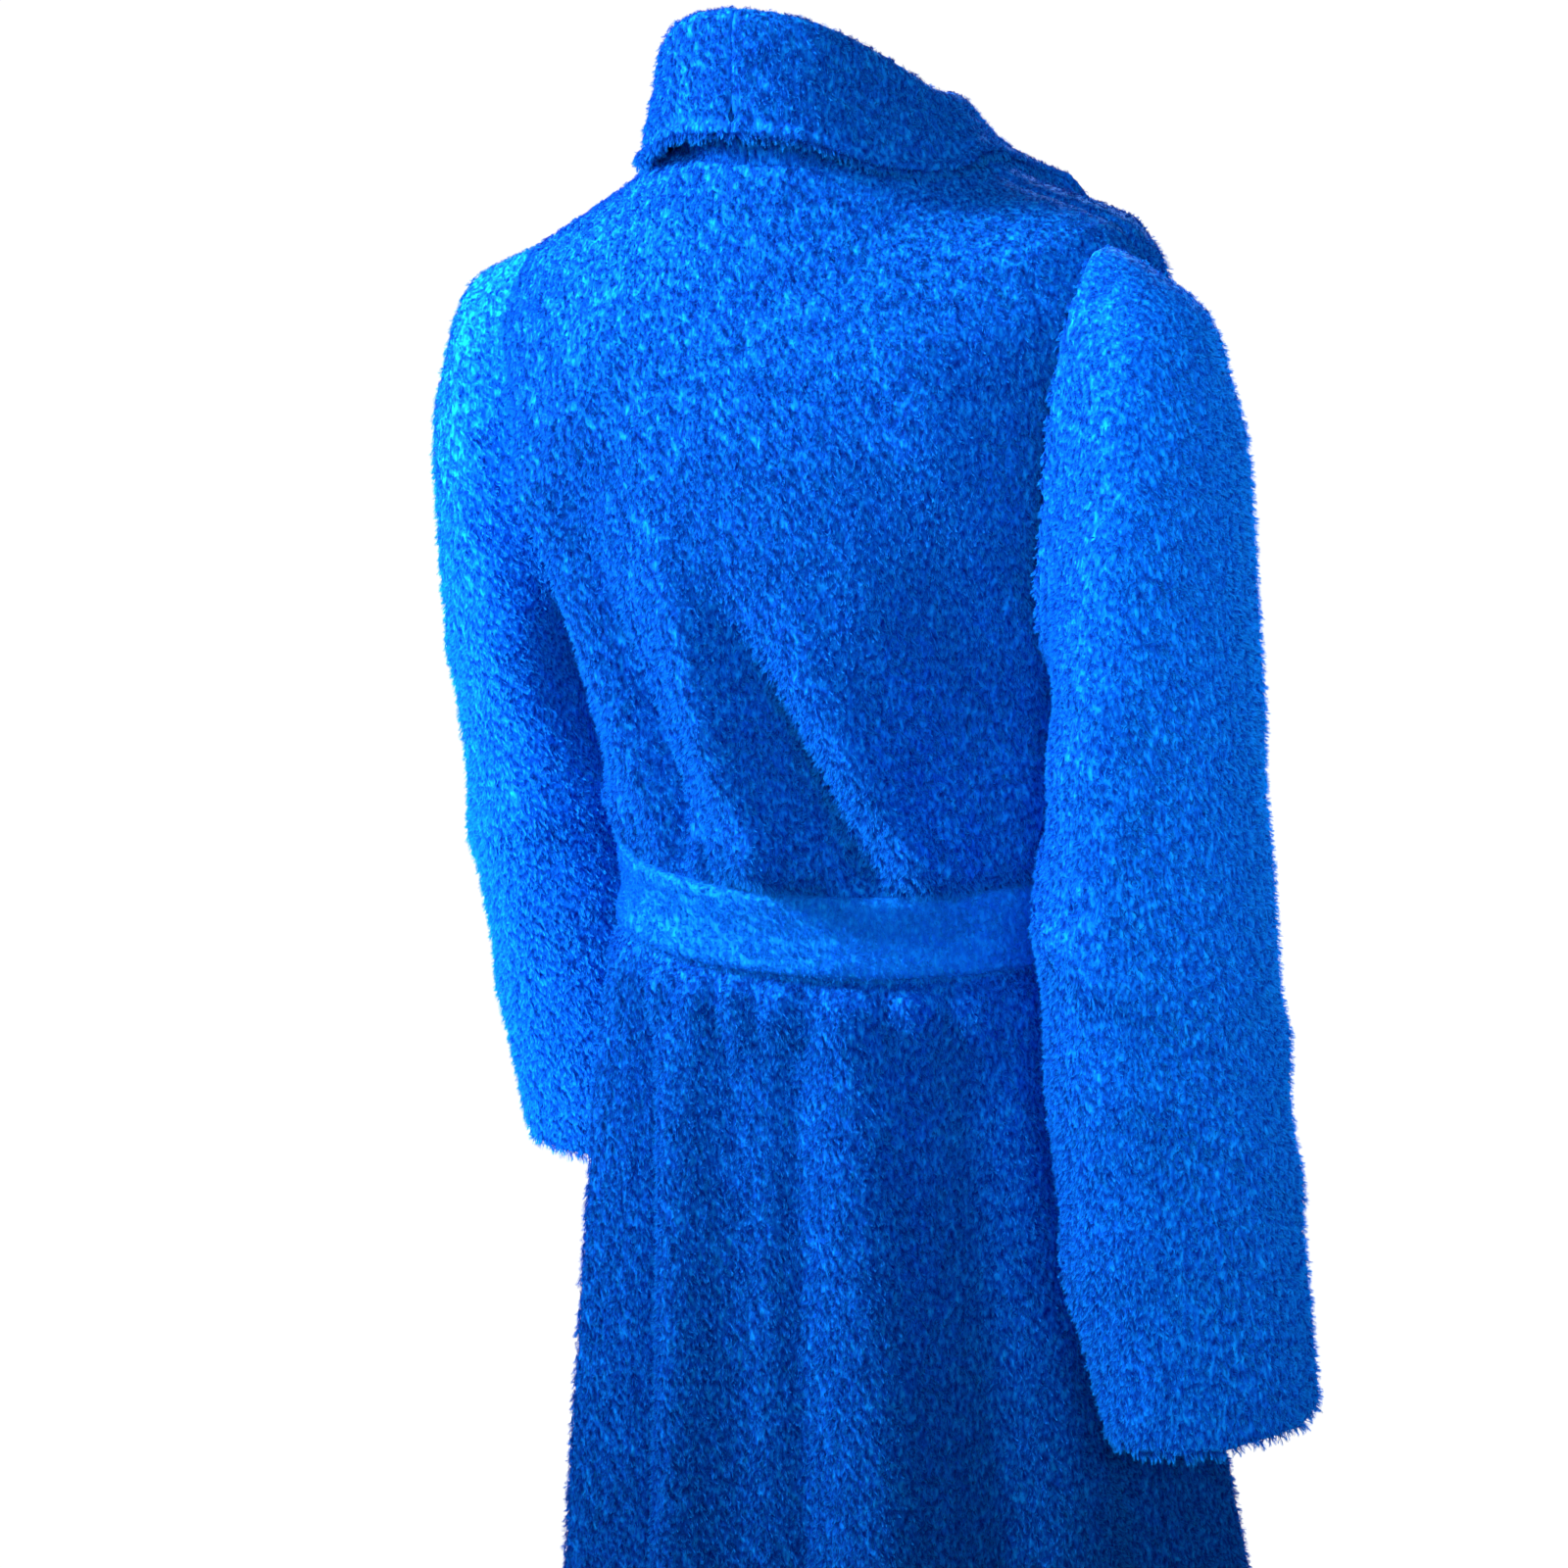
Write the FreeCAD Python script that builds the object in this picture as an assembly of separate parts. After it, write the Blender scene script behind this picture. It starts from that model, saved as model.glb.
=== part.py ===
import FreeCAD, Part
import math
import os

# A long plush bathrobe in its worn shape. It faces -Y, the wearer's left is +X and the hem is at z 0.
# Lengths are in mm.

# Driving sizes
LENGTH = 1190.0            # hem to the neck seam at the centre back
WAIST = 760.0              # height of the belt's centre line
CLOTH = 5.0                # thickness of the plush cloth with its pile pressed flat
SEAM = 1.0                 # gap between two panels that are sewn together
WRAP = 8.0                 # how far the right front lies outside the left front
BELT_WIDTH = 44.0
BAND_WIDTH = 45.0          # strip along each front edge below the belt
OVERLAP = 35.0             # how far the right front passes the centre
UNDERLAP = 15.0            # how far the left front passes the centre, before its band
COLLAR_CLOTH = 3.5         # one layer of the collar
COLLAR_GAP = 0.8           # gap between the collar's two layers
STAND = 82.0               # height of the collar's fold line above the neck seam at the centre back
FALL = 60.0                # width of the part of the collar that is folded over there
COLLAR_STEPS = 3           # sections of the collar between one station and the next
POCKET_TOP = 640.0
POCKET_HEIGHT = 160.0

KNOT_X = (52.0, 116.0)     # the knot sits beside the right front's free edge, so that the flap can open
KNOT_Y = (-144.0, -121.0)
TAIL_WIDTH = 36.0          # one hanging belt end
TAIL_CLOTH = 4.0
TAIL_BOTTOM = 340.0
TAIL_TOP_Y = -116.0        # the belt ends slope outwards with the skirt
TAIL_BOTTOM_Y = -179.0
LOOP_DROP = 44.0           # how far the hanging loop hangs
LOOP_WIDTH = 56.0
LOOP_TAPE = 7.0
LOOP_Y = 69.0

# Heights that follow from the driving sizes
BELT_BOTTOM = WAIST - BELT_WIDTH / 2
BELT_TOP = WAIST + BELT_WIDTH / 2
SKIRT_TOP = BELT_BOTTOM - 3
LAPEL_END = BELT_TOP + 16  # where the collar's lower end stops above the belt
TAIL_TOP = BELT_BOTTOM - 6
LOOP_TOP = LENGTH - 7

# The body's outline at each height: height, half width, depth behind and depth in front of the side seam
OUTLINE = [
    (0, 245, 142, 215),
    (SKIRT_TOP, 145, 112, 118),
    (WAIST, 137, 106, 108),
    (820, 147, 112, 112),
    (940, 180, 122, 120),
    (1040, 210, 124, 115),
    (1090, 212, 114, 98),
    (1125, 190, 102, 84),
    (1160, 130, 92, 70),
    (LENGTH, 78, 85, 55),
]
SHOULDER_START = 1030      # above this height the body closes in towards the neck
SHOULDER_DROP = 4.0        # extra vertical thickness there, since the cloth lies nearly flat

# Armhole, in the plane seen from the front: the seam runs from the underarm to the shoulder point
UNDERARM = (170.0, 905.0)
SHOULDER = (198.0, 1125.0)

# Left sleeve as seen from the front: inner point, outer point and half depth of each section
SLEEVE = [
    ((174, 917), (200, 1123), 60),
    ((184, 908), (250, 1101), 73),
    ((191, 882), (270, 1047), 84),
    ((195, 840), (281, 962), 88),
    ((196, 780), (295, 842), 86),
    ((205, 692), (316, 718), 76),
    ((218, 603), (332, 619), 66),
    ((234, 511), (344, 523), 60),
]
ARM_FORWARD = {1: 0.20, -1: -0.38}   # how far each sleeve comes forward per unit of its drop
ARM_BEND = {1: 0.08, -1: 0.17}       # extra forward reach gained by the cuff, as a share of the drop

BIG = 1500.0


def vec(x, y, z):
    return FreeCAD.Vector(x, y, z)


def middle_y():
    """How far the side seams, at y 0 in the shapes below, lie behind the middle of the whole robe."""
    front = OUTLINE[0][3] + WRAP
    back = sleeve_y(-1, SLEEVE[-1][0][1]) + SLEEVE[-1][2]
    return (front - back) / 2


def save(shape, node):
    """Writes one node, moved so that the origin lies at the middle of the whole robe."""
    shape.translated(vec(0, middle_y(), 0)).exportStep(f"parts/{node}.step")


def outline_at(z):
    """Half width, depth behind and depth in front at height z."""
    for low, high in zip(OUTLINE, OUTLINE[1:]):
        if z <= high[0]:
            share = (z - low[0]) / (high[0] - low[0])
            return tuple(low[k] + share * (high[k] - low[k]) for k in (1, 2, 3))
    return OUTLINE[-1][1:]


def half_oval(width, depth, z, start):
    """Half an ellipse at height z, from the angle start to start + 180 degrees."""
    arc = Part.makeCircle(1, vec(0, 0, 0), vec(0, 0, 1), start, start + 180)
    stretch = FreeCAD.Matrix()
    stretch.scale(width, depth, 1)
    stretch.move(vec(0, 0, z))
    return arc.transformGeometry(stretch)


def ring(z, half_width, back, front):
    """Closed outline at height z: one half ellipse behind the side seams and one in front of them."""
    return Part.Wire([half_oval(half_width, back, z, 0), half_oval(half_width, front, z, 180)])


def body_solid(grow=0.0, wrap=0.0, low=0.0, high=LENGTH, drop=0.0):
    """The body's outline made solid, grown sideways, with its front moved out by wrap."""
    heights = [low] + [row[0] for row in OUTLINE if low < row[0] < high] + [high]
    rings = []
    for z in heights:
        half_width, back, front = outline_at(z)
        sink = drop if z > SHOULDER_START else 0.0
        rings.append(ring(z - sink, half_width + grow, back + grow, front + grow + wrap))
    return Part.makeLoft(rings, True, True)


def body_layer(inner, outer, wrap=0.0, low=0.0, high=LENGTH):
    """A layer of cloth between two offsets from the body's outline."""
    reaches_neck = high == LENGTH
    core = body_solid(inner, wrap, low, high, SHOULDER_DROP if reaches_neck else 0.0)
    shell = body_solid(outer, wrap, low, high).cut(core)
    if not reaches_neck:
        return shell
    half_width, back, front = outline_at(high)
    neck_hole = [
        ring(z, half_width + inner, back + inner, front + inner + wrap)
        for z in (high - SHOULDER_DROP - 0.01, high + 1)
    ]
    return shell.cut(Part.makeLoft(neck_hole, True, True))


def box(x0, x1, y0, y1, z0, z1):
    return Part.makeBox(x1 - x0, y1 - y0, z1 - z0, vec(x0, y0, z0))


def prism_xz(points, y0, y1):
    """A straight-sided solid whose outline is given in x and z, running from y0 to y1."""
    corners = [vec(x, y0, z) for x, z in points]
    return Part.Face(Part.makePolygon(corners + corners[:1])).extrude(vec(0, y1 - y0, 0))


def mirrored(shape):
    return shape.mirror(vec(0, 0, 0), vec(1, 0, 0))


def armhole_cutter(side):
    """Everything outside the armhole seam, above the underarm."""
    lean = (SHOULDER[0] - UNDERARM[0]) / (SHOULDER[1] - UNDERARM[1])
    top = LENGTH + 100
    x_top = SHOULDER[0] + lean * (top - SHOULDER[1])
    points = [
        (side * UNDERARM[0], UNDERARM[1]),
        (side * x_top, top),
        (side * BIG, top),
        (side * BIG, UNDERARM[1]),
    ]
    return prism_xz(points, -BIG, BIG)


def without_arms(shape):
    return shape.cut(armhole_cutter(1)).cut(armhole_cutter(-1))


def lapel_edge_points(side):
    """The front panel's free edge from the neck down to the belt, as seen from the front."""
    return [(side * 76, LENGTH + 5), (side * 70, 1150), (side * 28, LAPEL_END)]


def front_region(side, edge_x, low, high):
    """What one front panel covers: its own side of the lapel edge above the belt, and past the centre
    as far as edge_x below it."""
    top = min(high, LENGTH + 5)
    points = [(side * BIG, low), (side * BIG, top)]
    if high > LAPEL_END:
        points += lapel_edge_points(side)
    points += [(edge_x, min(high, LAPEL_END - 4)), (edge_x, low)]
    return prism_xz(points, -BIG, -SEAM / 2)


def back_panel():
    behind = box(-BIG, BIG, SEAM / 2, BIG, -1, LENGTH + 1)
    return without_arms(body_layer(-CLOTH, 0).common(behind))


def front_panel_left():
    region = front_region(1, -UNDERLAP + SEAM / 2, 0, LENGTH + 5)
    return without_collar(without_arms(body_layer(-CLOTH, 0).common(region)), 1)


def front_band_left():
    sewn_edge = -UNDERLAP - SEAM / 2
    strip = box(sewn_edge - BAND_WIDTH, sewn_edge, -BIG, 0, 0, BELT_TOP)
    return body_layer(-CLOTH, 0, 0, 0, BELT_TOP).common(strip)


def front_panel_right():
    region = front_region(-1, OVERLAP, BELT_BOTTOM, LENGTH + 5)
    return without_collar(without_arms(body_layer(-CLOTH, 0, WRAP).common(region)), -1)


def front_skirt_right():
    region = front_region(-1, OVERLAP - BAND_WIDTH - SEAM / 2, 0, SKIRT_TOP)
    return body_layer(-CLOTH, 0, WRAP, 0, SKIRT_TOP).common(region)


def front_band_right():
    strip = box(OVERLAP - BAND_WIDTH + SEAM / 2, OVERLAP, -BIG, 0, 0, SKIRT_TOP)
    return body_layer(-CLOTH, 0, WRAP, 0, SKIRT_TOP).common(strip)


def oval_section(inner, outer, half_depth, y, side):
    """A sleeve section: an ellipse whose long or short axis joins the inner and the outer point."""
    middle = vec(side * (inner[0] + outer[0]) / 2, y, (inner[1] + outer[1]) / 2)
    across = vec(side * (outer[0] - inner[0]) / 2, 0, (outer[1] - inner[1]) / 2)
    along = FreeCAD.Vector(across).normalize().cross(vec(0, 1, 0))
    placed = FreeCAD.Matrix(
        across.x, 0, along.x, middle.x,
        0, half_depth, 0, middle.y,
        across.z, 0, along.z, middle.z,
        0, 0, 0, 1,
    )
    halves = [Part.makeCircle(1, vec(0, 0, 0), vec(0, 0, 1), start, start + 180) for start in (0, 180)]
    return Part.Wire([half.transformGeometry(placed) for half in halves])


def sleeve_y(side, z):
    """How far back or forward the sleeve's centre line is at height z."""
    drop = SHOULDER[1] - z
    whole = SHOULDER[1] - SLEEVE[-1][1][1]
    return 5 - drop * ARM_FORWARD[side] - ARM_BEND[side] * drop * drop / whole


def sleeve_solid(side, inset):
    """The sleeve's outline made solid; an inset one also runs past both ends, to bore the sleeve out."""
    sections = []
    for k, (inner, outer, half_depth) in enumerate(SLEEVE):
        across = math.hypot(outer[0] - inner[0], outer[1] - inner[1])
        ux, uz = (outer[0] - inner[0]) / across, (outer[1] - inner[1]) / across
        push = 0.0
        if inset and k == 0:
            push = -2.0
        if inset and k == len(SLEEVE) - 1:
            push = 2.0
        start = (inner[0] + ux * inset + uz * push, inner[1] + uz * inset - ux * push)
        stop = (outer[0] - ux * inset + uz * push, outer[1] - uz * inset - ux * push)
        y = sleeve_y(side, (inner[1] + outer[1]) / 2)
        sections.append(oval_section(start, stop, half_depth - inset, y, side))
    return Part.makeLoft(sections, True, True)


def sleeve(side):
    return sleeve_solid(side, 0.0).cut(sleeve_solid(side, CLOTH))


def collar_stations(side):
    """Stations along the neck seam and the lapel edge, from the centre back to the belt.

    Each one holds a point on the seam, the outward direction, the direction towards the fold line,
    the stand's height, the fall's width and how far the fall's free edge flares outwards."""
    half_width, back, front = outline_at(LENGTH)
    lean = 0.28
    stations = []
    for degrees, stand, fall, flare in (
        (90, STAND, FALL, 7),
        (65, 74, 56, 10),
        (40, 52, 49, 16),
        (15, 28, 35, 23),
        (-12, 18, 26, 24),
    ):
        angle = math.radians(degrees)
        depth = back if degrees > 0 else front
        point = vec(half_width * math.cos(angle), depth * math.sin(angle), LENGTH)
        outward = vec(math.cos(angle), math.sin(angle), 0).normalize()
        rise = vec(-0.05 * math.cos(angle), -lean, 1).normalize()
        stations.append((point, outward, rise, stand, fall, flare))
    for z, stand, fall, flare in (
        (1160, 21, 58, 18),
        (1125, 22, 82, 12),
        (1090, 24, 88, 6),
        (1040, 20, 84, 5),
        (940, 16, 72, 4),
        (820, 14, 56, 3),
        (LAPEL_END, 14, 54, 3),
    ):
        x = lapel_x(z)
        half_width, _, front = outline_at(z)
        point = vec(x, -front * math.sqrt(1 - (x / half_width) ** 2), z)
        outward = vec(x / half_width ** 2, point.y / front ** 2, 0).normalize()
        outward = vec(outward.x, outward.y, 0.5 if z > 1150 else 0.12).normalize()
        rise = vec(-1, -0.15 if z > 1100 else 0.0, 0.45 if z > 1100 else 0.18)
        rise = (rise - outward * rise.dot(outward)).normalize()
        stations.append((point, outward, rise, stand, fall, flare))
    return stations


def smoothed(rows, steps):
    """Rows of numbers or vectors with extra rows between them, on a smooth curve through every given row."""
    full = []
    for k in range(len(rows) - 1):
        before, a, b, after = rows[max(k - 1, 0)], rows[k], rows[k + 1], rows[min(k + 2, len(rows) - 1)]
        for step in range(steps):
            t = step / steps
            weights = (
                (-t + 2 * t ** 2 - t ** 3) / 2,
                (2 - 5 * t ** 2 + 3 * t ** 3) / 2,
                (t + 4 * t ** 2 - 3 * t ** 3) / 2,
                (-t ** 2 + t ** 3) / 2,
            )
            full.append(
                tuple(
                    before[i] * weights[0] + a[i] * weights[1] + b[i] * weights[2] + after[i] * weights[3]
                    for i in range(len(a))
                )
            )
    full.append(rows[-1])
    return full


def collar_path(side):
    """The collar's stations with smooth steps between them, each with square directions."""
    path = []
    for point, outward, rise, stand, fall, flare in smoothed(collar_stations(side), COLLAR_STEPS):
        outward = FreeCAD.Vector(outward).normalize()
        rise = (rise - outward * rise.dot(outward)).normalize()
        path.append((point, outward, rise, stand, fall, flare))
    return path


def lapel_x(z):
    top, middle, bottom = lapel_edge_points(1)
    low, high = (middle, top) if z > middle[1] else (bottom, middle)
    return low[0] + (high[0] - low[0]) * (z - low[1]) / (high[1] - low[1])


def folded_section(station, near, far, side, wrap, start_x):
    """The cross-section of one folded collar layer, between the distances near and far from its fold."""
    point, outward, rise, stand, fall, flare = station
    turn = 8

    def place(u, v):
        spot = point + outward * u + rise * v
        return vec(side * max(spot.x, start_x), spot.y - (wrap if spot.y < 0 else 0) * wrap_share(point), spot.z)

    def side_of(distance, backwards):
        leg = [place(-distance, 1.5)]
        arc = [
            place(-distance * math.cos(math.pi * k / turn), stand + distance * math.sin(math.pi * k / turn))
            for k in range(turn + 1)
        ]
        hang = [place(distance + flare * 0.45, stand - fall * 0.55), place(distance + flare, stand - fall)]
        path = leg + arc + hang
        return path[::-1] if backwards else path

    corners = side_of(far, False) + side_of(near, True)
    return Part.makePolygon(corners + corners[:1])


def stand_room(side):
    """The space of the collar's stand, which a front panel leaves free."""
    wrap = WRAP if side < 0 else 0.0
    sections = []
    for point, outward, rise, stand, _, _ in collar_path(side):
        corners = []
        for u, v in ((-12, 0.7), (1.2, 0.7), (1.2, stand), (-12, stand)):
            spot = point + outward * u + rise * v
            shift = (wrap if spot.y < 0 else 0) * wrap_share(point)
            corners.append(vec(side * spot.x, spot.y - shift, spot.z))
        sections.append(Part.makePolygon(corners + corners[:1]))
    return Part.makeLoft(sections, True, True)


def without_collar(panel, side):
    near = 0.05
    fold = collar_layer(side, near, COLLAR_CLOTH + COLLAR_GAP + near)
    return largest(panel.cut(stand_room(side)).cut(fold))


def largest(shape):
    return max(shape.Solids, key=lambda solid: solid.Volume)


def wrap_share(point):
    """The right front's extra depth grows from nothing at the side seam to its whole at the centre."""
    half_width, _, front = outline_at(min(point.z, LENGTH))
    return min(1.0, max(0.0, -point.y / front))


def collar_layer(side, near, far):
    wrap = WRAP if side < 0 else 0.0
    sections = [folded_section(s, near, far, side, wrap, SEAM / 2) for s in collar_path(side)]
    return Part.makeLoft(sections, True, True)


def under_collar(side):
    near = COLLAR_GAP / 2
    return collar_layer(side, near, near + COLLAR_CLOTH)


def upper_collar(side):
    near = COLLAR_GAP * 1.5 + COLLAR_CLOTH
    return collar_layer(side, near, near + COLLAR_CLOTH)


def belt_wrap():
    return body_layer(2, 2 + CLOTH, WRAP, BELT_BOTTOM, BELT_TOP)


def belt_knot():
    block = box(KNOT_X[0], KNOT_X[1], KNOT_Y[0], KNOT_Y[1], BELT_BOTTOM - 3, BELT_TOP + 3)
    return block.makeFillet(9, block.Edges)


def belt_tail(left_x):
    """A belt end that hangs from the knot and follows the slope of the skirt."""
    def section(y, z):
        corners = [
            vec(left_x, y, z),
            vec(left_x + TAIL_WIDTH, y, z),
            vec(left_x + TAIL_WIDTH, y - TAIL_CLOTH, z),
            vec(left_x, y - TAIL_CLOTH, z),
        ]
        return Part.makePolygon(corners + corners[:1])

    return Part.makeLoft([section(TAIL_BOTTOM_Y, TAIL_BOTTOM), section(TAIL_TOP_Y, TAIL_TOP)], True, True)


def belt_loop(side):
    """A strip that stands off the side seam and holds the belt: one upright and two short ends."""
    reach = outline_at(WAIST)[0] + 18
    low, high = BELT_BOTTOM - 14, BELT_TOP + 14
    points = [
        (outline_at(low)[0] + 1.5, low),
        (reach, low),
        (reach, high),
        (outline_at(high)[0] + 1.5, high),
        (outline_at(high)[0] + 1.5, high - 4),
        (reach - 3, high - 4),
        (reach - 3, low + 4),
        (outline_at(low)[0] + 1.5, low + 4),
    ]
    strip = prism_xz(points, 4, 16)
    return strip if side > 0 else mirrored(strip)


def pocket(side):
    wrap = WRAP if side < 0 else 0.0
    low = POCKET_TOP - POCKET_HEIGHT
    window = box(80, 176, -BIG, -SEAM, low, POCKET_TOP)
    window = window if side > 0 else mirrored(window)
    return body_layer(1, 1 + CLOTH, wrap, low, POCKET_TOP).common(window)


def bar_tacks(side):
    """Short dense stitches that hold the pocket's two upper corners."""
    wrap = WRAP if side < 0 else 0.0
    top = POCKET_TOP - 4
    layer = body_layer(1.4 + CLOTH, 2.4 + CLOTH, wrap, top - 9, top)
    tacks = []
    for x in (83, 150):
        window = box(x, x + 8, -BIG, 0, top - 9, top)
        tacks.append(layer.common(window if side > 0 else mirrored(window)))
    return Part.makeCompound(tacks)


def hanging_loop():
    """A narrow tape that hangs as a U inside the back of the neck."""
    half, low = LOOP_WIDTH / 2, LOOP_TOP - LOOP_DROP
    outer = box(-half, half, LOOP_Y, LOOP_Y + 2.5, low, LOOP_TOP)
    gap = half - LOOP_TAPE
    return outer.cut(box(-gap, gap, LOOP_Y - 1, LOOP_Y + 4, low + LOOP_TAPE, LOOP_TOP + 1))


def neck_tape():
    """A flat tape that covers the collar seam inside the back of the neck."""
    shell = body_solid(-CLOTH - 3, 0, LENGTH - 24, LENGTH - 12)
    core = body_solid(-CLOTH - 4.2, 0, LENGTH - 25, LENGTH - 11)
    return shell.cut(core).common(box(-24, 24, 0, BIG, 0, BIG))


def neck_label():
    return box(-30, 30, 78.5, 79.7, 1112, 1160)


def care_label():
    x = outline_at(465)[0] - CLOTH - 2
    return box(x - 34, x, -0.4, 0.4, 440, 490)


def main():
    os.makedirs("parts", exist_ok=True)
    save(back_panel(), "back_panel")
    save(front_panel_left(), "front_panel_left")
    save(front_band_left(), "front_band_left")
    save(front_panel_right(), "front_panel_right")
    save(front_skirt_right(), "front_skirt_right")
    save(front_band_right(), "front_band_right")
    for side, name in ((1, "left"), (-1, "right")):
        save(sleeve(side), f"sleeve_{name}")
        save(upper_collar(side), f"upper_collar_{name}")
        save(under_collar(side), f"under_collar_{name}")
        save(belt_loop(side), f"belt_loop_{name}")
        save(pocket(side), f"pocket_{name}")
        save(bar_tacks(side), f"bar_tacks_{name}")
    save(belt_wrap(), "belt_wrap")
    save(belt_knot(), "belt_knot")
    save(belt_tail(KNOT_X[0] - 5), "belt_tail_right")
    save(belt_tail(KNOT_X[0] - 5 + TAIL_WIDTH + 2), "belt_tail_left")
    save(hanging_loop(), "hanging_loop")
    save(neck_tape(), "neck_tape")
    save(neck_label(), "neck_label")
    save(care_label(), "care_label")


main()
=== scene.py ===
"""A long blue plush bathrobe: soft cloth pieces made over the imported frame, with a long pile."""
import math

import bpy
import numpy as np
from mathutils import Matrix, Vector


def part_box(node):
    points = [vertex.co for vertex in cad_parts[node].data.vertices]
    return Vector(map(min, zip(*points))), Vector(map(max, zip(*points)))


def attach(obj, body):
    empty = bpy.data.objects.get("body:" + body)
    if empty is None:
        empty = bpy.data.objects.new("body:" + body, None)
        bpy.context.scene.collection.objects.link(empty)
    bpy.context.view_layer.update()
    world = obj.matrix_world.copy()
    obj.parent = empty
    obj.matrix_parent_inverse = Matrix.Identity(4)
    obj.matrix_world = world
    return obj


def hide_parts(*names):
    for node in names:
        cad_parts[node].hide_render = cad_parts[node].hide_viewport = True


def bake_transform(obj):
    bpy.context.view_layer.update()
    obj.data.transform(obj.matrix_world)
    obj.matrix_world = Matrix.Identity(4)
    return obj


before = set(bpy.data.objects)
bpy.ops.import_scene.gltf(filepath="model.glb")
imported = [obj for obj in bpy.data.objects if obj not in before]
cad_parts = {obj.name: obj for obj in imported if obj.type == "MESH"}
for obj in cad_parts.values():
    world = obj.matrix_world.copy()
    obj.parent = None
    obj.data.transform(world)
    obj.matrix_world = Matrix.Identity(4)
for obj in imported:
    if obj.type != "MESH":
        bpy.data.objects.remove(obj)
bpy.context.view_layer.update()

# Places and sizes read from the frame, in metres
SEAM_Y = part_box("back_panel")[0].y    # the plane of the side seams
NECK_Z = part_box("back_panel")[1].z
BELT_LOW, BELT_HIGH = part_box("belt_wrap")
WAIST_Z = (BELT_LOW.z + BELT_HIGH.z) / 2
BELT_HALF = (BELT_HIGH.z - BELT_LOW.z) / 2
SLEEVE_LOW, SLEEVE_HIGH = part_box("sleeve_left")
SHOULDER_Z = SLEEVE_HIGH.z
CUFF_Z = SLEEVE_LOW.z

# How the pile lies, as shares of its length
STAND_UP = 0.36
COMB_DOWN = 0.50
STRAY = 0.36

# Colours, as linear light
ROYAL = (0.001, 0.088, 0.57)
# The lit blue: painted highlight on the tops of the tufts and the tips of the pile, and the tint of the real
# sheen
LIT_AZURE = (0.003, 0.25, 0.82)
# The shade blue: painted shade in the hollows between tufts and at the roots of the pile
SHADE_NAVY = (0.0005, 0.018, 0.22)
BELT_BLUE = (0.002, 0.15, 0.70)


# ---------------------------------------------------------------- meshes

def link(obj):
    """Puts a new object into the scene."""
    bpy.context.scene.collection.objects.link(obj)
    return obj


def settle(piece):
    """Makes the piece's modifiers part of its mesh."""
    graph = bpy.context.evaluated_depsgraph_get()
    graph.update()
    mesh = bpy.data.meshes.new_from_object(piece.evaluated_get(graph))
    piece.modifiers.clear()
    piece.data = mesh


def vertex_rows(piece, kind):
    """One row of three numbers for each vertex: its place ("co") or its direction outwards ("normal")."""
    flat = np.empty(len(piece.data.vertices) * 3, np.float32)
    piece.data.vertices.foreach_get(kind, flat)
    return flat.reshape(-1, 3).astype(float)


def points_of(piece):
    return vertex_rows(piece, "co")


def normals_of(piece):
    return vertex_rows(piece, "normal")


def move_points(piece, points):
    piece.data.vertices.foreach_set("co", points.astype(np.float32).ravel())
    piece.data.update()


def soft_copy(node, grain, passes, loft=0.0):
    """A new piece over one CAD node: remeshed at the given grain, its hard edges worn soft in a number of
    passes, and its cloth thickened by loft, which also wins back what its edges lose."""
    piece = link(bpy.data.objects.new(f"{node}_cloth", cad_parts[node].data.copy()))
    remesh = piece.modifiers.new("remesh", "REMESH")
    remesh.mode = "VOXEL"
    remesh.voxel_size = grain
    if passes:
        smooth = piece.modifiers.new("smooth", "SMOOTH")
        smooth.iterations = passes
        smooth.factor = 0.5
    if loft:
        thicken = piece.modifiers.new("loft", "DISPLACE")
        thicken.mid_level = 0
        thicken.strength = loft
    settle(piece)
    piece.data.shade_smooth()
    return piece


def ease(value, start, stop):
    """0 before start, 1 after stop, smooth between."""
    t = np.clip((value - start) / (stop - start), 0, 1)
    return t * t * (3 - 2 * t)


# ---------------------------------------------------------------- folds

def ridge(distance, width):
    """1 on a line and 0 well away from it."""
    return np.exp(-(distance / width) ** 2)


# Soft vertical folds of the skirt: direction round the body in degrees (0 is the wearer's left, 90 behind),
# height at the hem in metres and half width in degrees
SKIRT_FOLDS = [
    (8, -0.010, 6), (26, 0.018, 7), (41, -0.022, 5), (59, 0.015, 8), (78, -0.004, 8), (96, -0.009, 8),
    (117, 0.012, 12), (138, -0.008, 9), (155, 0.014, 9), (172, -0.010, 6), (196, 0.014, 9),
    (216, -0.008, 7), (238, 0.010, 9), (262, -0.006, 8), (285, 0.009, 10), (310, -0.008, 8), (335, 0.014, 9),
]
# Drag folds of the back: start and stop as (x, z), height and half width in metres
BACK_FOLDS = [
    ((0.150, 1.040), (0.072, 0.820), 0.013, 0.014),
    ((0.110, 0.960), (0.055, 0.800), -0.015, 0.015),
    ((0.040, 0.960), (-0.010, 0.790), 0.014, 0.017),
    ((0.004, 0.930), (-0.066, 0.785), -0.016, 0.017),
    ((-0.045, 0.910), (-0.100, 0.780), 0.014, 0.018),
    ((-0.110, 0.960), (-0.128, 0.850), -0.013, 0.024),
    ((-0.135, 0.860), (-0.150, 0.790), 0.009, 0.016),
    ((0.080, 1.120), (0.140, 0.980), 0.006, 0.022),
    ((-0.080, 1.110), (-0.160, 0.980), 0.006, 0.022),
]


def along_line(x, z, start, stop):
    """Distance from a line on the back, and the share of the way along it."""
    dx, dz = stop[0] - start[0], stop[1] - start[1]
    length = math.hypot(dx, dz)
    share = ((x - start[0]) * dx + (z - start[1]) * dz) / length ** 2
    across = ((x - start[0]) * dz - (z - start[1]) * dx) / length
    return across, share


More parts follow.
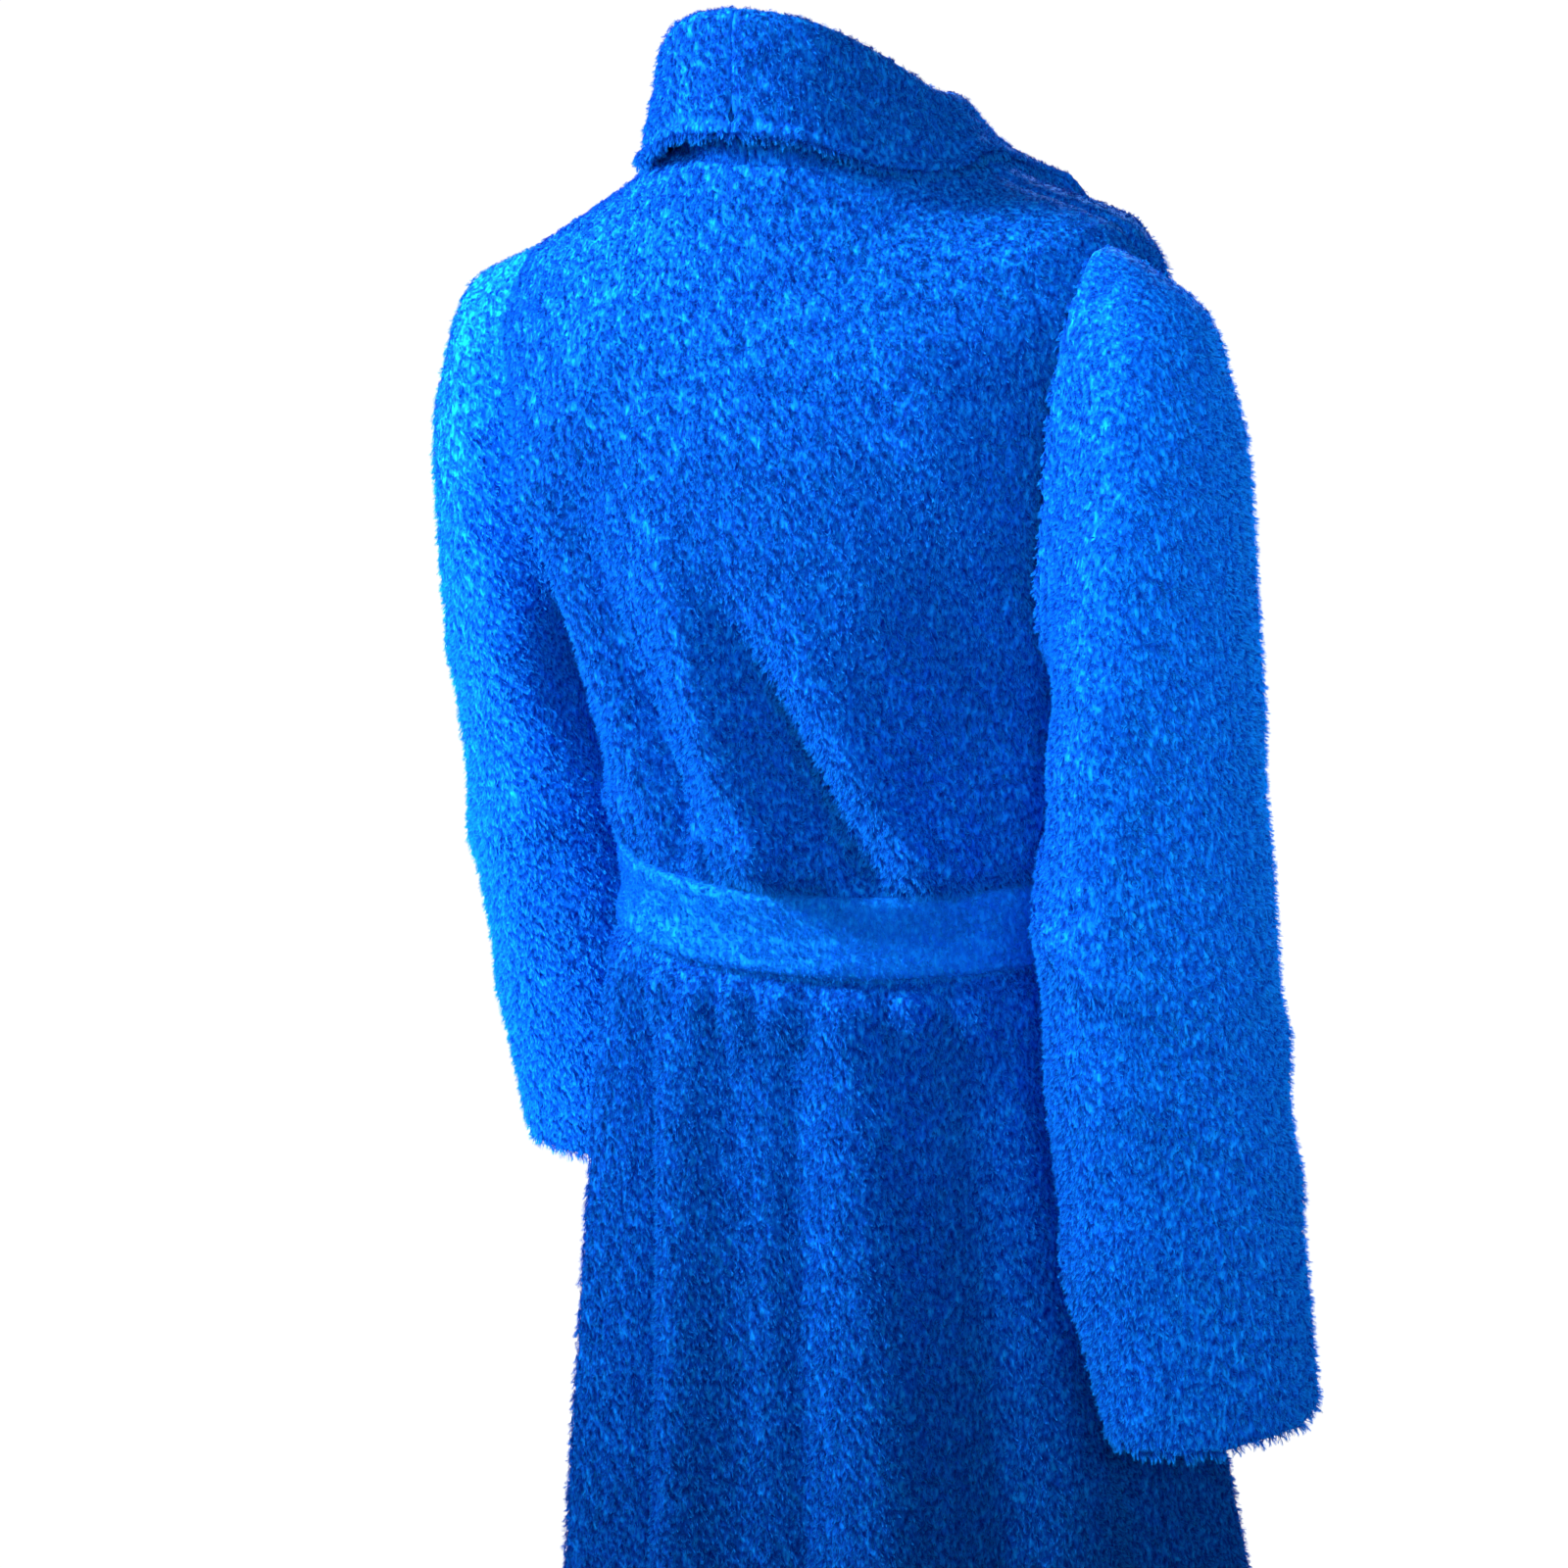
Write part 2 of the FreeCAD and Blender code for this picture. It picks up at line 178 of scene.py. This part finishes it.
FOLD_DEPTH = 1.45     # scales every fold of the body
PUFF = 0.005          # how far the cloth swells just above and just below the belt
PUFF_OFF = 0.022      # from the belt's edge to the middle of that swelling
PUFF_HALF = 0.024
GATHER = 0.0022       # half height of the small gathers there
RIGHT_SHOULDER_X = -0.200
SHOULDER_HALF = 0.075
SHOULDER_RISE = 0.028
NECK_RISE = 0.005     # closes the gap under the collar that worn edges leave
BAND_LAP = 0.003      # how far each edge of a front band is widened
SIDE_LAP = 0.012      # how far the opening flap runs on under the back at the side seam


def body_folds(points):
    """How far the body's cloth stands out from the frame at each point, in metres."""
    x, y, z = points[:, 0], points[:, 1] - SEAM_Y, points[:, 2]
    turn = np.degrees(np.arctan2(y, x)) % 360
    drop = np.clip((WAIST_Z - z) / WAIST_Z, 0, 1)
    out = np.zeros(len(points))
    swell = ease(drop, 0.01, 0.14) * (0.55 + 0.45 * drop)
    for centre, height, width in SKIRT_FOLDS:
        sway = 1.5 * np.sin(z * 9 + centre)
        gap = (turn - centre - sway + 180) % 360 - 180
        out += swell * height * ridge(gap, width)
    near_belt = ridge(np.abs(z - WAIST_Z) - BELT_HALF - PUFF_OFF, PUFF_HALF)
    out += near_belt * PUFF
    gathers = np.sin(np.radians(turn) * 23 + 1.3 * np.sin(np.radians(turn) * 5))
    out += near_belt * GATHER * gathers
    behind = ease(y, 0.0, 0.05) * (1 - ease(z, 1.10, 1.16))
    for start, stop, height, width in BACK_FOLDS:
        across, share = along_line(x, z, start, stop)
        lasting = ease(share, -0.45, 0.50) * (1 - ease(share, 0.85, 1.15))
        out += behind * height * ridge(across, width) * lasting
    return FOLD_DEPTH * out * ease(np.abs(z - WAIST_Z), BELT_HALF - 0.004, BELT_HALF + 0.016)


def lift(points):
    """The robe sits higher on the wearer's right shoulder: the move up at each point, in metres."""
    x, z = points[:, 0], points[:, 2]
    return SHOULDER_RISE * ridge(x - RIGHT_SHOULDER_X, SHOULDER_HALF) * ease(z, 0.90, 1.09)


def fold_body(piece):
    """Moves the cloth straight out from the body's middle by its folds, and raises its shoulder and neck."""
    points = points_of(piece)
    outward = points.copy()
    outward[:, 1] -= SEAM_Y
    outward[:, 2] = 0
    outward /= np.linalg.norm(outward, axis=1)[:, None] + 1e-9
    fade = 1 - ease(points[:, 2], 1.10, 1.17)
    moved = points + outward * (body_folds(points) * fade)[:, None]
    moved[:, 2] += lift(points) + NECK_RISE * ease(points[:, 2], NECK_Z - 0.03, NECK_Z - 0.005)
    move_points(piece, moved)


def fold_band(piece):
    """Folds a front band like the body, and widens it so that it runs under the panel beside it."""
    points = points_of(piece)
    low, high = points[:, 0].min(), points[:, 0].max()
    middle = (low + high) / 2
    points[:, 0] = middle + (points[:, 0] - middle) * (1 + 2 * BAND_LAP / (high - low))
    move_points(piece, points)
    fold_body(piece)


def fold_flap(piece):
    """Folds the flap like the rest of the body, and laps its side edge under the back's."""
    fold_body(piece)
    points = points_of(piece)
    points[:, 1] += SIDE_LAP * ease(points[:, 1], SEAM_Y - 0.025, SEAM_Y - 0.002)
    move_points(piece, points)


ARMHOLE = ((0.170, 0.905), (0.198, 1.125))     # underarm and shoulder point, as (x, z)
# Creases round a sleeve: share of the way down, tilt, direction of the deepest side in degrees, height in
# metres and half width as a share of the sleeve's length
SLEEVE_CREASES = [
    (0.32, 0.06, 250, 0.005, 0.035),
    (0.44, -0.06, 20, 0.004, 0.030),
    (0.53, 0.06, 290, 0.007, 0.028),
    (0.61, -0.05, 60, 0.005, 0.026),
    (0.72, 0.07, 200, 0.004, 0.030),
    (0.85, -0.05, 330, 0.004, 0.035),
]
# Long folds of the left (1) and right (-1) sleeve: direction in degrees at its top and bottom, share of the
# way down where the fold starts and stops, height in metres and half width in degrees
LONG_FOLDS = {
    1: [
        (140, 172, 0.14, 0.72, -0.026, 13),
        (116, 132, 0.30, 0.50, -0.014, 11),
        (100, 60, 0.5, 1.0, 0.004, 20),
    ],
    -1: [
        (170, 150, 0.30, 0.95, 0.006, 20),
        (60, 70, 0.30, 0.90, -0.004, 22),
    ],
}


def centre_line(points):
    """The middle (x, y) of the sleeve at each point's height."""
    z = points[:, 2]
    edges = np.linspace(z.min(), z.max(), 40)
    heights, middles = [], []
    for low, high in zip(edges, edges[1:]):
        inside = points[(z >= low) & (z <= high)]
        if len(inside) > 8:
            heights.append((low + high) / 2)
            middles.append((inside.min(0) + inside.max(0)) / 2)
    middles = np.array(middles)
    return np.column_stack([np.interp(z, heights, middles[:, k]) for k in (0, 1)])


HEAD_GIVE = 0.065     # length of a line across the armhole seam along which the sleeve's head would give way; the line is not used
HEAD_TUCK = 0.20      # how far the sleeve's head closes in at the armhole, as a share of its half depth
SEAM_LAP = 0.004      # how far the sleeve's head closes the gap that worn edges leave at the armhole


def from_armhole(points):
    """Distance of each point outwards from the armhole seam, in metres."""
    (low_x, low_z), (high_x, high_z) = ARMHOLE
    seam_x = low_x + (points[:, 2] - low_z) * (high_x - low_x) / (high_z - low_z)
    return np.abs(points[:, 0]) - seam_x


def tuck(points):
    """How far each point of the sleeve's head closes in, as a share of its half depth."""
    above = points[:, 2] - ARMHOLE[0][1]
    return HEAD_TUCK * (1 - ease(from_armhole(points), 0.0, 0.05)) * ease(above, 0.0, 0.08)


def fold_sleeve(piece, side):
    """Creases and folds the sleeve, follows the shoulder, and closes its head against the armhole."""
    points = points_of(piece)
    middle = centre_line(points)
    outward = np.zeros_like(points)
    outward[:, :2] = points[:, :2] - middle
    outward /= np.linalg.norm(outward, axis=1)[:, None] + 1e-9
    turn = np.arctan2(outward[:, 1], outward[:, 0] * side)
    down = (SHOULDER_Z - points[:, 2]) / (SHOULDER_Z - CUFF_Z)
    out = np.zeros(len(points))
    for place, tilt, facing, height, width in SLEEVE_CREASES:
        line = place + tilt * np.sin(turn - math.radians(facing))
        around = 0.55 + 0.45 * np.cos(turn - math.radians(facing + 180 * (side < 0)))
        out += height * ridge(down - line, width) * around
    out *= ease(down, 0.10, 0.30)
    for top, bottom, first, last, height, width in LONG_FOLDS[side]:
        share = np.clip((down - first) / (last - first), 0, 1)
        gap = (np.degrees(turn) - top - (bottom - top) * share + 180) % 360 - 180
        lasting = ease(down, first - 0.06, first + 0.10) * (1 - ease(down, last - 0.10, last + 0.06))
        out += height * ridge(gap, width) * lasting
    moved = points + outward * out[:, None]
    moved[:, 2] += lift(points)
    moved[:, 1] += (middle[:, 1] - points[:, 1]) * tuck(points)
    moved[:, 0] -= side * SEAM_LAP * (1 - ease(from_armhole(points), 0.002, 0.022))
    move_points(piece, moved)


GROOVE = 0.0022       # half width and depth of the seam down the collar's centre back
STITCH_UP = 0.0090    # from the lower edge of the collar's fall up to its line of stitching
STITCH_HALF = 0.0030  # half width of the groove that the stitching makes
COLLAR_DROP = 0.003   # how far the collar's lower edge comes down over the back


def stitch_line(points):
    """1 on the line of stitching behind the neck, 0 away from it. The fall is the outer half of the collar,
    and its lower edge is found in steps round the neck."""
    x, y, z = np.abs(points[:, 0]), points[:, 1] - SEAM_Y, points[:, 2]
    turn = np.clip(np.degrees(np.arctan2(y, x)), 0, 90)
    reach = np.hypot(x, y)
    steps, middles, edges = [], [], []
    for step in range(0, 90, 3):
        near = (turn >= step) & (turn < step + 4) & (z > NECK_Z - 0.06)
        if near.any():
            steps.append(step + 2)
            middles.append((reach[near].min() + reach[near].max()) / 2)
            edges.append(z[near & (reach > middles[-1])].min())
    outside = reach > np.interp(turn, steps, middles)
    gap = z - np.interp(turn, steps, edges) - STITCH_UP
    return ridge(gap, STITCH_HALF) * outside * ease(y, 0.0, 0.02)


def collar_seams(piece):
    """Where the collar's pile is caught down in its seams."""
    points = points_of(piece)
    return (np.abs(points[:, 0]) < GROOVE) | (stitch_line(points) > 0.35)


def fold_collar(piece):
    """Draws the collar in along its centre seam and its stitching, closes its two halves up and lets them
    follow the shoulder."""
    points = points_of(piece)
    behind = ease(points[:, 1], SEAM_Y, SEAM_Y + 0.03)
    inwards = normals_of(piece) * -GROOVE
    centre = ridge(points[:, 0], GROOVE) * behind * np.abs(inwards[:, 1]) / GROOVE
    moved = points + inwards * (stitch_line(points) + centre)[:, None]
    half = np.sign(points[:, 0].mean())
    gap = np.abs(points[:, 0]).min()
    moved[:, 0] -= half * (gap + 0.0004) * (1 - ease(np.abs(points[:, 0]), gap, 0.010))
    neck = 1 - ease(points[:, 2], NECK_Z, NECK_Z + 0.02)
    moved[:, 2] += lift(points) - COLLAR_DROP * neck * behind
    move_points(piece, moved)


# ---------------------------------------------------------------- pile

def tuft_texture(name, size):
    """Soft lumps about as wide as size."""
    texture = bpy.data.textures.new(name, "CLOUDS")
    texture.noise_scale = size
    texture.noise_depth = 1
    return texture


def combed_space():
    """An empty whose stretched space makes the tufts longer than they are wide."""
    empty = link(bpy.data.objects.new("combed_space", None))
    empty.scale = (1, 1, 2.2)
    return empty


COMBED = combed_space()


def raise_tufts(piece, size, height):
    """Cuts the surface into small soft tufts."""
    displace = piece.modifiers.new("tufts", "DISPLACE")
    displace.texture = tuft_texture(f"{piece.name}_tufts", size)
    displace.texture_coords = "OBJECT"
    displace.texture_coords_object = COMBED
    displace.strength = height
    displace.mid_level = 0.5
    settle(piece)
    piece.data.shade_smooth()


def square_cm(piece):
    return sum(polygon.area for polygon in piece.data.polygons) * 1e4


def add_pile(piece, per_square_cm, length, hair, seed, bare=None):
    """A combed pile of short wavy strands, in small tufts. No strand grows where bare is true."""
    piece.data.materials.append(hair)
    modifier = piece.modifiers.new("pile", "PARTICLE_SYSTEM")
    system = modifier.particle_system
    system.seed = seed
    if bare is not None:
        group = piece.vertex_groups.new(name="pile")
        group.add(np.nonzero(~bare)[0].tolist(), 1.0, "REPLACE")
        system.vertex_group_density = "pile"
    settings = system.settings
    settings.type = "HAIR"
    settings.use_advanced_hair = True
    settings.count = int(square_cm(piece) * per_square_cm)
    settings.hair_step = 3
    settings.emit_from = "FACE"
    settings.distribution = "RAND"
    speed = length / 4      # a strand grows four times as long as the speed it starts with
    settings.normal_factor = speed * STAND_UP
    settings.object_align_factor = (0, 0, -speed * COMB_DOWN)
    settings.factor_random = speed * STRAY
    settings.child_type = "SIMPLE"
    settings.child_percent = 1
    settings.rendered_child_count = 4
    settings.child_radius = 0.0012
    settings.child_roundness = 1.0
    settings.clump_factor = 0.35
    settings.clump_shape = -0.1
    settings.kink = "CURL"
    settings.kink_amplitude = 0.0007
    settings.kink_amplitude_random = 0.5
    settings.kink_frequency = 1.6
    settings.root_radius = 0.30
    settings.tip_radius = 0.16
    settings.radius_scale = 0.001
    settings.render_step = 3
    settings.material = len(piece.data.materials)


# ---------------------------------------------------------------- materials

def new_material(name):
    """A node material: itself, its nodes, its links and its surface shader."""
    material = bpy.data.materials.new(name)
    material.use_nodes = True
    nodes = material.node_tree.nodes
    return material, nodes, material.node_tree.links, nodes["Principled BSDF"]


def noise_node(nodes, links, scale, detail, stretch):
    """Noise that is fixed to the piece."""
    where = nodes.new("ShaderNodeTexCoord")
    mapping = nodes.new("ShaderNodeMapping")
    mapping.inputs["Scale"].default_value = stretch
    links.new(where.outputs["Object"], mapping.inputs["Vector"])
    noise = nodes.new("ShaderNodeTexNoise")
    noise.inputs["Scale"].default_value = scale
    noise.inputs["Detail"].default_value = detail
    links.new(mapping.outputs["Vector"], noise.inputs["Vector"])
    return noise


def ramp_node(nodes, links, value, stops):
    """A colour for each value, blended between stops of (place, colour)."""
    ramp = nodes.new("ShaderNodeValToRGB")
    while len(ramp.color_ramp.elements) < len(stops):
        ramp.color_ramp.elements.new(0.5)
    for element, (place, colour) in zip(ramp.color_ramp.elements, stops):
        element.position = place
        element.color = (*colour, 1)
    links.new(value, ramp.inputs["Fac"])
    return ramp


def bump_surface(nodes, links, surface, height, strength, depth):
    """Roughens the surface by a height pattern, depth in metres."""
    bump = nodes.new("ShaderNodeBump")
    bump.inputs["Strength"].default_value = strength
    bump.inputs["Distance"].default_value = depth
    links.new(height, bump.inputs["Height"])
    links.new(bump.outputs["Normal"], surface.inputs["Normal"])


def plush_material(name, dark, mid, light):
    """The cloth under the pile: tufts of three blues, with painted shade in their hollows, painted
    highlights on their tops, and a matt sheen.
    """
    material, nodes, links, surface = new_material(name)
    tufts = noise_node(nodes, links, 380, 3, (1, 1, 0.45))
    # Painted light: the darker blue goes where the noise sinks the bumps and the lighter blue where it
    # raises them
    ramp = ramp_node(nodes, links, tufts.outputs["Fac"], [(0.30, dark), (0.50, mid), (0.72, light)])
    links.new(ramp.outputs["Color"], surface.inputs["Base Color"])
    surface.inputs["Roughness"].default_value = 0.95
    surface.inputs["Sheen Weight"].default_value = 0.25
    surface.inputs["Sheen Roughness"].default_value = 0.4
    surface.inputs["Sheen Tint"].default_value = (*light, 1)
    surface.inputs["Specular IOR Level"].default_value = 0.02
    bump_surface(nodes, links, surface, tufts.outputs["Fac"], 0.8, 0.0015)
    return material


def pile_material(name, root, middle, tip):
    """Strands with painted shade at the root and a painted highlight at the tip, each a little different."""
    material, nodes, links, surface = new_material(name)
    strand = nodes.new("ShaderNodeHairInfo")
    ramp = ramp_node(nodes, links, strand.outputs["Intercept"], [(0.0, root), (0.45, middle), (1.0, tip)])
    vary = nodes.new("ShaderNodeHueSaturation")
    spread = nodes.new("ShaderNodeMapRange")
    spread.inputs["To Min"].default_value = 0.75
    spread.inputs["To Max"].default_value = 1.2
    links.new(strand.outputs["Random"], spread.inputs["Value"])
    links.new(spread.outputs["Result"], vary.inputs["Value"])
    links.new(ramp.outputs["Color"], vary.inputs["Color"])
    links.new(vary.outputs["Color"], surface.inputs["Base Color"])
    surface.inputs["Roughness"].default_value = 0.8
    surface.inputs["Specular IOR Level"].default_value = 0.02
    return material


def tape_material(name, colour, scale):
    """A fine woven tape."""
    material, nodes, links, surface = new_material(name)
    weave = nodes.new("ShaderNodeTexWave")
    weave.inputs["Scale"].default_value = scale
    weave.inputs["Distortion"].default_value = 1.5
    where = nodes.new("ShaderNodeTexCoord")
    links.new(where.outputs["Object"], weave.inputs["Vector"])
    dark = tuple(0.7 * c for c in colour)
    ramp = ramp_node(nodes, links, weave.outputs["Fac"], [(0.2, dark), (0.8, colour)])
    links.new(ramp.outputs["Color"], surface.inputs["Base Color"])
    surface.inputs["Roughness"].default_value = 0.7
    bump_surface(nodes, links, surface, weave.outputs["Fac"], 0.4, 0.0004)
    return material


# In each plush and pile the darkest blue is painted shade and the lit blue a painted highlight; the belt
# uses royal blue as its painted shade
PLUSH = plush_material("robe_plush", SHADE_NAVY, ROYAL, LIT_AZURE)
BELT_PLUSH = plush_material("belt_plush", ROYAL, BELT_BLUE, LIT_AZURE)
PILE = pile_material("robe_pile", SHADE_NAVY, ROYAL, LIT_AZURE)
BELT_PILE = pile_material("belt_pile", ROYAL, BELT_BLUE, LIT_AZURE)
TAPE = tape_material("woven_tape", (0.004, 0.03, 0.22), 900)
LABEL = tape_material("label_tape", (0.75, 0.77, 0.80), 1400)
THREAD = tape_material("stitching", (0.003, 0.02, 0.16), 2500)


# ---------------------------------------------------------------- pieces

# Cloth: grain of the remesh in metres, passes of wear, and loft in metres
PANEL = (0.0027, 30, 0.0008)
POCKET = (0.0022, 10, 0.0008)
UPPER_COLLAR = (0.0016, 30, 0.0006)
UNDER_COLLAR = (0.0016, 15, 0.0)
BELT = (0.0022, 10, 0.0022)

# Pile: width and height of its tufts in metres, strands in a square centimetre, and their length in metres
LONG_PILE = (0.004, 0.0018, 16, 0.0065)
COLLAR_PILE = (0.004, 0.0014, 18, 0.0065)
HIDDEN_PILE = (0.004, 0.0008, 14, 0.005)
SHORT_PILE = (0.003, 0.0008, 22, 0.0030)


def plush_piece(node, cloth, pile, fold, seed, body):
    """A folded piece of the robe with its pile. It rides on body; without one it is left unattached."""
    tuft_size, tuft_height, density, length = pile
    piece = soft_copy(node, *cloth)
    fold(piece)
    raise_tufts(piece, tuft_size, tuft_height)
    piece.data.materials.clear()
    piece.data.materials.append(PLUSH)
    add_pile(piece, density, length, PILE, seed, collar_seams(piece) if "collar" in node else None)
    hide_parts(node)
    if body:
        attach(piece, body)
    return piece


def make_body():
    for seed, node in enumerate(("back_panel", "front_panel_left", "front_panel_right")):
        plush_piece(node, PANEL, LONG_PILE, fold_body, 10 + seed, "torso")
    plush_piece("front_band_left", PANEL, LONG_PILE, fold_band, 13, "torso")
    plush_piece("pocket_left", POCKET, LONG_PILE, fold_body, 20, "torso")


def swing_with_flap(piece):
    """Bakes the piece's place into its mesh; nothing swings it open."""
    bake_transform(piece)


def make_flap():
    """The right front below the belt."""
    pieces = (
        ("front_skirt_right", PANEL, fold_flap),
        ("front_band_right", PANEL, fold_band),
        ("pocket_right", POCKET, fold_body),
    )
    for seed, (node, cloth, fold) in enumerate(pieces):
        swing_with_flap(plush_piece(node, cloth, LONG_PILE, fold, 30 + seed, None))


def make_sleeve(side, name, seed):
    """Folds the sleeve and bakes it in place. The line across the armhole seam that its head would give way
    along is worked out but not used, and nothing swings it up.
    """
    def fold(piece):
        fold_sleeve(piece, side)

    piece = plush_piece(f"sleeve_{name}", PANEL, LONG_PILE, fold, seed, None)
    (low_x, low_z), (high_x, high_z) = ARMHOLE
    across = Vector((high_z - low_z, 0, low_x - high_x)).normalized() * HEAD_GIVE
    start = Vector(((low_x + high_x) / 2, SEAM_Y, (low_z + high_z) / 2))
    end = start + across
    for place in (start, end):
        place.x *= side
    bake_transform(piece)


def make_collar():
    for seed, node in enumerate(("upper_collar_left", "upper_collar_right")):
        plush_piece(node, UPPER_COLLAR, COLLAR_PILE, fold_collar, 50 + seed, "torso")
    for seed, node in enumerate(("under_collar_left", "under_collar_right")):
        plush_piece(node, UNDER_COLLAR, HIDDEN_PILE, fold_collar, 54 + seed, "torso")


def belt_piece(node, body, seed):
    """A part of the belt, with a shorter and denser pile than the robe's."""
    tuft_size, tuft_height, density, length = SHORT_PILE
    piece = soft_copy(node, *BELT)
    raise_tufts(piece, tuft_size, tuft_height)
    piece.data.materials.clear()
    piece.data.materials.append(BELT_PLUSH)
    add_pile(piece, density, length, BELT_PILE, seed)
    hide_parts(node)
    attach(piece, body)


def make_belt():
    belt_piece("belt_wrap", "torso", 60)
    belt_piece("belt_knot", "torso", 61)
    belt_piece("belt_tail_left", "left_tail", 62)
    belt_piece("belt_tail_right", "right_tail", 63)


TRIM_WEAR = 3         # passes
LOOP_GRAIN = 0.0009
LOOP_DENSITY = 24     # strands in a square centimetre
LOOP_LENGTH = 0.0035
# The sewn-on pieces: grain of the remesh in metres, material, slot and body
TRIMS = {
    "hanging_loop": (0.0006, TAPE, "woven_tape", "hang_loop"),
    "neck_tape": (0.0004, TAPE, "woven_tape", "torso"),
    "neck_label": (0.0004, LABEL, "label_tape", "torso"),
    "care_label": (0.0003, LABEL, "label_tape", "torso"),
    "bar_tacks_left": (0.0003, THREAD, "stitching", "torso"),
    "bar_tacks_right": (0.0003, THREAD, "stitching", None),
}


def trim_piece(node, grain, material, slot, body):
    """A small flat piece such as a label, a tape or a bar tack, with soft edges. Without a body it is baked
    in place like the flap."""
    piece = soft_copy(node, grain, TRIM_WEAR)
    piece.data.materials.clear()
    piece.data.materials.append(material)
    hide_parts(node)
    if body:
        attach(piece, body)
    else:
        swing_with_flap(piece)
    return piece


def make_trims():
    for seed, node in enumerate(("belt_loop_left", "belt_loop_right")):
        loop = trim_piece(node, LOOP_GRAIN, PLUSH, "robe_plush", "torso")
        add_pile(loop, LOOP_DENSITY, LOOP_LENGTH, PILE, 70 + seed)
    for node, details in TRIMS.items():
        trim_piece(node, *details)


# ---------------------------------------------------------------- stage

FLOOR_Z = -0.25       # the robe hangs clear of the floor


def make_stage():
    bpy.ops.mesh.primitive_plane_add(size=40, location=(0, 0, FLOOR_Z))
    floor = bpy.context.object
    floor.name = "floor"
    material, nodes, links, surface = new_material("pale_floor")
    surface.inputs["Base Color"].default_value = (0.75, 0.75, 0.75, 1)
    surface.inputs["Roughness"].default_value = 0.9
    surface.inputs["Emission Color"].default_value = (1, 1, 1, 1)
    links.new(seen_or_felt(nodes, links, 0.95, 0.0), surface.inputs["Emission Strength"])
    floor.data.materials.append(material)


def seen_or_felt(nodes, links, seen, felt):
    """One value for what the camera sees and another for the light that reaches the robe."""
    path = nodes.new("ShaderNodeLightPath")
    value = nodes.new("ShaderNodeMapRange")
    value.inputs["To Min"].default_value = felt
    value.inputs["To Max"].default_value = seen
    links.new(path.outputs["Is Camera Ray"], value.inputs["Value"])
    return value.outputs["Result"]


LAMP_SIZE = 1.0
AMBIENT = 0.10        # light from all round, against a backdrop that looks white
# Soft lamps: place, the point each one faces, width of its beam in degrees, power, and the only piece that
# it lights, if there is one
LAMPS = {
    "key": ((2.8, 1.7, 2.7), (0.10, 0.0, 1.17), 26, 20.0, None),
    "fill": ((-2.0, 3.0, 2.3), (-0.08, 0.0, 1.09), 22, 2.8, None),
    "right": ((-2.7, 2.4, 2.2), (-0.34, 0.0, 0.90), 22, 3.5, "sleeve_right_cloth"),
    "left": ((1.6, 2.9, 1.7), (0.34, -0.05, 0.84), 16, 14.5, "sleeve_left_cloth"),
    "front": ((1.0, -3.3, 2.0), (0.0, 0.0, 0.75), 40, 20.0, None),
}


def area_light(name, place, target, beam, power):
    """A soft square lamp that faces target, with a beam so many degrees wide."""
    light = bpy.data.lights.new(name, "AREA")
    light.size = LAMP_SIZE
    light.energy = power
    light.spread = math.radians(beam)
    lamp = link(bpy.data.objects.new(name, light))
    lamp.location = place
    lamp.rotation_euler = (Vector(target) - Vector(place)).to_track_quat("-Z", "Y").to_euler()
    return lamp


def make_light():
    world = bpy.data.worlds.new("studio")
    bpy.context.scene.world = world
    world.use_nodes = True
    nodes, links = world.node_tree.nodes, world.node_tree.links
    nodes["Background"].inputs["Color"].default_value = (1, 1, 1, 1)
    links.new(seen_or_felt(nodes, links, 1.0, AMBIENT), nodes["Background"].inputs["Strength"])
    for name, (place, target, beam, power, piece) in LAMPS.items():
        lamp = area_light(name, place, target, beam, power)
        if piece:
            reach = bpy.data.collections.new(f"{name}_reach")
            reach.objects.link(bpy.data.objects[piece])
            lamp.light_linking.receiver_collection = reach


# The camera's direction in degrees from straight behind, towards the wearer's right, and upwards
AZIMUTH = 32.1
ELEVATION = 15.5
DISTANCE = 3.49
ROLL = -3.1           # degrees round the line of sight
AIM = (0.0497, SEAM_Y, 0.812)
LENS = 137.5          # for a 36 mm sensor


def make_camera():
    data = bpy.data.cameras.new("camera")
    data.lens = LENS
    data.sensor_width = 36
    camera = link(bpy.data.objects.new("camera", data))
    turn, rise = math.radians(AZIMUTH), math.radians(ELEVATION)
    back = Vector((-math.sin(turn) * math.cos(rise), math.cos(turn) * math.cos(rise), math.sin(rise)))
    facing = (-back).to_track_quat("-Z", "Y").to_matrix() @ Matrix.Rotation(math.radians(ROLL), 3, "Z")
    camera.matrix_world = Matrix.Translation(Vector(AIM) + back * DISTANCE) @ facing.to_4x4()
    bpy.context.scene.camera = camera


def main():
    make_body()
    make_flap()
    make_sleeve(1, "left", 40)
    make_sleeve(-1, "right", 41)
    make_collar()
    make_belt()
    make_trims()
    make_stage()
    make_light()
    make_camera()
    bpy.context.scene.view_settings.view_transform = "Standard"


main()
